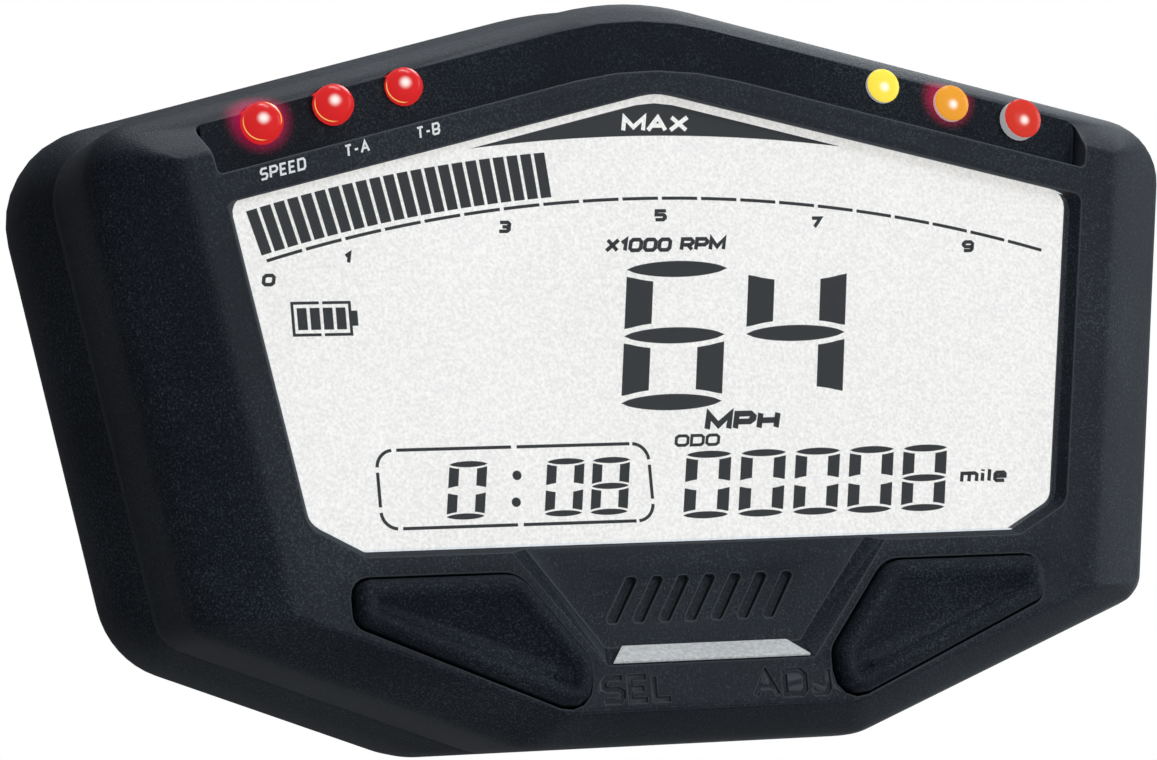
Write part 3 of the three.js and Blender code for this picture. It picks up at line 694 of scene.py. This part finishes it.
def ink_piece(name, build, look="ink"):
    """One piece of thin plates that a function builds on the display or the housing."""
    bm = bmesh.new()
    build(bm)
    return finish_piece(name, mesh_from(name, bm), looks[look], "case")


# The tachometer's scale is an arc whose centre lies far below the display.
SCALE_RADIUS = 189
SCALE_CENTRE = (0, -168.7)
SCALE_REACH = 51.3


def scale_angle(x, radius=SCALE_RADIUS):
    """The angle in degrees from the scale's middle to a point x millimetres to the right of it."""
    return math.degrees(math.asin(x / radius))


def build_tachometer_bars(bm):
    """Radial bars that stand just above the left end of the scale."""
    count, filled = 22, 0.76
    left, right = -53.1, -14.6
    low, high = SCALE_RADIUS + 0.78, SCALE_RADIUS + 6.25
    start = scale_angle(left, high)
    pitch = (scale_angle(right, high) - start) / (count - 1 + filled)
    for k in range(count):
        edges = [90 - start - k * pitch, 90 - start - (k + filled) * pitch]
        corners = [(low, edges[0]), (high, edges[0]), (high, edges[1]), (low, edges[1])]
        points = [arc(SCALE_CENTRE, radius, angle, angle, 1)[0] for radius, angle in corners]
        add_plate(bm, points, ink_front, ink_back)


def build_scale(bm):
    """The curved line, broken once for every half a thousand turns."""
    count, half_gap, width, steps = 20, 0.27, 0.38, 4
    reach = scale_angle(SCALE_REACH)
    pitch = 2 * reach / count
    spare = scale_angle(half_gap)
    for k in range(count):
        start = 90 + reach - k * pitch - spare
        line = arc(SCALE_CENTRE, SCALE_RADIUS, start, start - pitch + 2 * spare, steps)
        add_line(bm, line, width, ink_front, ink_back)


def build_scale_numbers(bm):
    height, weight = 1.5, 0.42
    places = {"0": (-51.0, 11.0), "1": (-40.9, 13.5), "3": (-20.6, 17.0), "5": (-0.1, 18.2),
              "7": (20.5, 17.1), "9": (40.9, 13.9)}
    for number, centre in places.items():
        add_text(bm, number, centre, height, weight, ink_front, ink_back, stretch=1.15, gap=0.4, lean=0.2)


def build_speed(bm):
    for digit, left in (("6", -7.6), ("4", 8.5)):
        add_digit(bm, digit, left, base=-4.6, width=13.2, height=16.2, lean=2.4, stroke=0.265, swell=0.98)


def build_odometer(bm):
    first, pitch = -0.9, 7.25
    for k, digit in enumerate("00008"):
        left = first + pitch * k
        add_digit(bm, digit, left, base=-18.35, width=5.9, height=7.3, lean=1.2, stroke=0.26, swell=0.42)


def build_clock(bm):
    dot_radius, dot_sides = 0.57, 18
    for digit, left in (("0", -31.3), ("0", -18.8), ("8", -12.9)):
        add_digit(bm, digit, left, base=-17.6, width=4.8, height=6.2, lean=0.95, stroke=0.26, swell=0.36)
    for centre in ((-21.9, -12.9), (-22.3, -16.1)):
        add_plate(bm, arc(centre, dot_radius, 0, 360, dot_sides)[:-1], ink_front, ink_back)


def build_clock_frame(bm):
    """A dashed line round the clock: four corners, two uprights and two halves of each level side."""
    left, right, low, high, radius = -39.5, -4.7, -18.8, -9.5, 2.1
    gap, width, spare_angle, steps = 0.5, 0.38, 4, 8
    for x, z, start in ((right - radius, high - radius, 0), (left + radius, high - radius, 90),
                        (left + radius, low + radius, 180), (right - radius, low + radius, 270)):
        corner = arc((x, z), radius, start + spare_angle, start + 90 - spare_angle, steps)
        add_line(bm, corner, width, ink_front, ink_back)
    for x in (left, right):
        add_line(bm, [(x, low + radius + gap), (x, high - radius - gap)], width, ink_front, ink_back)
    middle = (left + right) / 2
    for z in (low, high):
        for a, b in ((left + radius, middle), (middle, right - radius)):
            add_line(bm, [(a + gap, z), (b - gap / 2, z)], width, ink_front, ink_back)


def build_battery(bm):
    """A case in two halves, its terminal on the right and a row of charge bars."""
    left, right, low, high = -48.4, -41.2, 4.4, 8.2
    half_break, case_width = 0.22, 0.34
    terminal_gap, terminal_inset, terminal_width = 0.55, 1.0, 0.72
    bars, bar_margin, bar_inset, bar_width = 4, 0.35, 0.6, 1.2
    middle = (left + right) / 2
    for x, side in ((left, -1), (right, 1)):
        inner = middle + side * half_break
        add_line(bm, [(inner, low), (x, low), (x, high), (inner, high)], case_width, ink_front, ink_back)

    def add_upright(x, inset, width):
        add_line(bm, [(x, low + inset), (x, high - inset)], width, ink_front, ink_back)

    add_upright(right + terminal_gap, terminal_inset, terminal_width)
    pitch = (right - left - 2 * bar_margin) / bars
    for k in range(bars):
        add_upright(left + bar_margin + pitch * (k + 0.5), bar_inset, bar_width)


def build_captions(bm):
    add_text(bm, "X1000 RPM", (0.2, 14.6), 1.75, 0.46, ink_front, ink_back, stretch=1.08, gap=0.4, lean=0.25)
    add_text(bm, "MPH", (8.1, -7.1), 2.45, 0.7, ink_front, ink_back, stretch=1.3, gap=0.5, lean=0.25)
    add_text(bm, "ODO", (1.9, -9.3), 1.5, 0.36, ink_front, ink_back, stretch=1.35, gap=0.42, lean=0.2)
    add_text(bm, "mile", (39.8, -14.6), 1.85, 0.44, ink_front, ink_back, stretch=1.2, gap=0.5, lean=0.2)


def build_max_banner(bm):
    """A low gable with a rounded ridge, whose underside is a shallow arch."""
    centre, reach, foot, arch, peak, bend = 0.35, 24.4, 26.55, 1.45, 32.35, 3.0
    steps = 20
    shares = [-1 + 2 * k / steps for k in range(steps + 1)]
    under = [(centre + reach * u, foot + arch * (1 - u * u)) for u in shares]
    slope = (peak - foot) / reach
    over = []
    for u in reversed(shares[1:-1]):
        away = abs(u) * reach
        drop = away if away > bend else (away * away / bend + bend) / 2
        over.append((centre + reach * u, peak - slope * drop))
    add_plate(bm, under + over, ink_front, ink_back)


def build_max_word(bm):
    """Pale letters that stand just in front of the banner."""
    front, back = ink_front - 0.05, ink_front - 0.01
    add_text(bm, "MAX", (0.3, 29.45), 2.1, 0.52, front, back, stretch=1.32, gap=0.42, lean=0.2)


def build_lamp_captions(bm):
    """White print on the rim, along the lower edge of the indicator strip."""
    height, weight, front, back = 1.5, 0.26, -0.035, -0.005
    for text, centre in (("SPEED", (-49.0, 23.7)), ("T-A", (-39.5, 26.1)), ("T-B", (-30.3, 28.2))):
        add_text(bm, text, centre, height, weight, front, back, stretch=0.68, gap=0.36, slope=0.235)


def add_display():
    ink_piece("tachometer_bars", build_tachometer_bars)
    ink_piece("tachometer_scale", build_scale)
    ink_piece("tachometer_numbers", build_scale_numbers)
    ink_piece("speed_figures", build_speed)
    ink_piece("odometer_figures", build_odometer)
    ink_piece("clock_figures", build_clock)
    ink_piece("clock_frame", build_clock_frame)
    ink_piece("battery_symbol", build_battery)
    ink_piece("display_captions", build_captions)
    ink_piece("max_banner", build_max_banner)
    ink_piece("max_word", build_max_word, "display")
    ink_piece("lamp_captions", build_lamp_captions, "print")


# ---------- housing ----------

ROOF_BEND = 10.7
SHELL_SMOOTH_ANGLE = 32


def gable(x):
    """How far out a point counts on a gable whose ridge is rounded."""
    away = abs(x)
    return away if away > ROOF_BEND else (away * away / ROOF_BEND + ROOF_BEND) / 2


def add_lamp_strip():
    """The dark strip that the lamps stand in: it leans back, bends over the middle and widens upwards."""
    lower, slope, height, corner_radius = 36.8, 0.24, 6.9, 1.1
    edge_gap, front_depth, rake, thickness = 0.14, 3.0, 0.068, 0.6
    widening = 1.4
    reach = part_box("indicator_fascia")[1].x / MM - widening
    across, along = 14, 96
    bm = bmesh.new()

    def grid(depth_offset):
        rows = []
        for j in range(across + 1):
            rise = edge_gap + (height - 2 * edge_gap) * j / across
            over = rise - (height - corner_radius)
            round_in = corner_radius - math.sqrt(corner_radius**2 - over**2) if over > 0 else 0
            limit = reach + widening * rise / height - round_in
            row = []
            for i in range(along + 1):
                x = limit * (2 * i / along - 1)
                depth = front_depth + rake * rise + depth_offset
                row.append(bm.verts.new(at(x, depth, lower + rise - slope * gable(x))))
            rows.append(row)
        return rows

    front, back = grid(0), grid(thickness)
    for rows in (front, back):
        for j in range(across):
            for i in range(along):
                bm.faces.new((rows[j][i], rows[j][i + 1], rows[j + 1][i + 1], rows[j + 1][i]))
    rim = [(0, i) for i in range(along)] + [(j, along) for j in range(across)]
    rim += [(across, i) for i in range(along, 0, -1)] + [(j, 0) for j in range(across, 0, -1)]
    for k, (j, i) in enumerate(rim):
        next_j, next_i = rim[(k + 1) % len(rim)]
        bm.faces.new((front[j][i], back[j][i], back[next_j][next_i], front[next_j][next_i]))
    mesh = mesh_from("lamp_strip", bm)
    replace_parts(finish_piece("lamp_strip", mesh, looks["fascia"], "case", 40), "indicator_fascia")


def engrave_captions(shell):
    """Sinks the two buttons' short names into the lower edge of the shell, one stroke at a time."""
    height, weight, top, floor = 3.4, 0.66, -0.5, 0.34
    cutters = []
    for text, centre in (("SEL", (-10.1, -39.1)), ("ADJ", (10.1, -39.2))):
        for stroke in text_strokes(text, centre, height - weight, stretch=0.97, gap=0.36):
            bm = bmesh.new()
            add_stroke(bm, stroke, weight, top, floor)
            cutter = bpy.data.objects.new("caption_cutter", mesh_from("caption_cutter", bm))
            bpy.context.scene.collection.objects.link(cutter)
            cut = shell.modifiers.new("caption", "BOOLEAN")
            cut.operation = "DIFFERENCE"
            cut.solver = "EXACT"
            cut.object = cutter
            cutters.append(cutter)
    graph = bpy.context.evaluated_depsgraph_get()
    carved = bpy.data.meshes.new_from_object(shell.evaluated_get(graph))
    shell.modifiers.clear()
    shell.data = carved
    for cutter in cutters:
        bpy.data.objects.remove(cutter)
    carved.shade_smooth()
    carved.set_sharp_from_angle(angle=math.radians(SHELL_SMOOTH_ANGLE))


def add_pip(bm, centre):
    """A small dome on a face that looks to the front, with its foot sunk into the face."""
    radius, height, foot = 0.5, 0.26, 0.1
    rings, steps = 4, 14
    turns = [2 * math.pi * j / steps for j in range(steps)]
    tip = bm.verts.new(centre - Vector((0, height, 0)) * MM)
    inner = None
    for k in range(1, rings + 1):
        reach = radius * k / rings
        rise = height * math.cos(math.pi / 2 * k / rings) - (foot if k == rings else 0)
        places = [Vector((reach * math.cos(t), -rise, reach * math.sin(t))) for t in turns]
        ring = [bm.verts.new(centre + place * MM) for place in places]
        for j in range(steps):
            after = (j + 1) % steps
            if inner:
                bm.faces.new((inner[j], ring[j], ring[after], inner[after]))
            else:
                bm.faces.new((tip, ring[j], ring[after]))
        inner = ring
    bm.faces.new(list(reversed(inner)))


def add_button(node, name, pip):
    """A soft moulded cap: a rounded rim and a small pip near the inner tip of its dished face."""
    rim_radius, rim_angle, dish, facing_front = 0.22, 14, 0.3, -0.99
    bm = cad_copy(node)
    soften(bm, rim_radius, rim_angle)
    face = max((f for f in bm.faces if f.normal.y < facing_front), key=lambda f: f.calc_area())
    for vert in face.verts:
        vert.co.y += dish * MM
    x, z = pip
    add_pip(bm, Vector((x * MM, face.calc_center_median().y, z * MM)))
    piece = finish_piece(name, mesh_from(name, bm), looks["button"], body_of_node(node), 50)
    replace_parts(piece, node)


def add_housing():
    shell = dressed("front_housing", "housing_shell", SHELL_SMOOTH_ANGLE, width=0.28, sharp_angle=28)
    engrave_captions(shell)
    add_button("sel_button", "sel_pad", (-20.6, -37.4))
    add_button("adj_button", "adj_pad", (20.6, -37.4))
    dressed("rear_case", "rear_shell", SHELL_SMOOTH_ANGLE, width=0.25, sharp_angle=40)
    add_lamp_strip()
    dressed("accent_bar", "bright_bar", smooth_angle=20, width=0.08)
    dressed("clear_window", "display_window", smooth_angle=20)
    dressed("lcd_glass", "display_cell", smooth_angle=20)


# ---------- lamps ----------


def add_lamps():
    """Lamps that are lit, and the glow that two of them throw on the plastic.

    highlight_side, lower_left and upper_right are in lamp radii from the middle of a red lamp's dome.
    """
    red, yellow = (0.58, 0.018, 0.019), (0.90, 0.68, 0.07)
    orange, scarlet = (0.72, 0.30, 0.03), (0.56, 0.035, 0.022)
    white, straw = (1, 0.93, 0.88), (1, 0.62, 0.16)
    # A red lamp's white spot lies towards this side of its dome: a painted highlight over the glowing chip.
    highlight_side = Vector((-0.30, -0.94, 0.12))
    lower_left, upper_right = Vector((-0.85, -0.35, -0.45)), Vector((0.45, -0.7, 0.55))
    near_tip, behind = Vector((-0.2, 0.15, -0.1)) * MM, Vector((-0.1, 1.2, 0.9)) * MM
    halos = []
    for node, radius, body in (
        ("speed_lamp", 2.5, red), ("t_a_lamp", 2.45, red), ("t_b_lamp", 2.3, red),
        ("yellow_lamp", 2.15, yellow), ("orange_lamp", 2.3, orange), ("red_lamp", 2.5, scarlet),
    ):
        low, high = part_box(node)
        tip = Vector(((low.x + high.x) / 2, low.y, (low.z + high.z) / 2))
        middle = tip + Vector((0, radius, 0)) * MM
        ball = radius * MM
        # Each lamp's glow turns white near its tip: the glowing chip and a painted highlight.
        white_spot, white_spot_radius, glint_arcs = tip + near_tip, 0.95, []
        if body is red:
            white_spot, white_spot_radius = middle + highlight_side * ball, 1.05
            # Painted glint: a warm crescent near the lower left edge of a red lamp's dome.
            glint_arcs.append((straw, (white_spot, radius * 1.12, 0.16), (middle + lower_left * ball, radius)))
        if node == "speed_lamp":
            # A second painted glint, towards the speed lamp's upper right.
            glint_arcs.append((straw, (white_spot, radius, 0.22), (middle + upper_right * ball, radius * 0.8)))
            halos.append((middle + behind, radius * 2.0, (0.38, 0.006, 0.065)))
        if node == "orange_lamp":
            halos.append((tip + behind, radius * 1.9, (0.36, 0.006, 0.045)))
        look = lamp_material(node + "_epoxy", body, white, white_spot, white_spot_radius, glint_arcs)
        dressed(node, node + "_dome", smooth_angle=40, look=look)
    for slot in ("housing", "fascia"):
        add_halos(looks[slot], halos)


def paint_cad_nodes():
    """Gives each CAD node that still shows the look of its material slot."""
    for node, thing in frame["nodes"].items():
        if not thing.hide_render:
            thing.data.materials.clear()
            thing.data.materials.append(looks[slot_of[node]])


# ---------- the whole scene ----------

add_camera()
add_lights()
add_world()
add_floor()
add_housing()
add_display()
add_lamps()
paint_cad_nodes()
bpy.context.scene.view_settings.view_transform = "Standard"
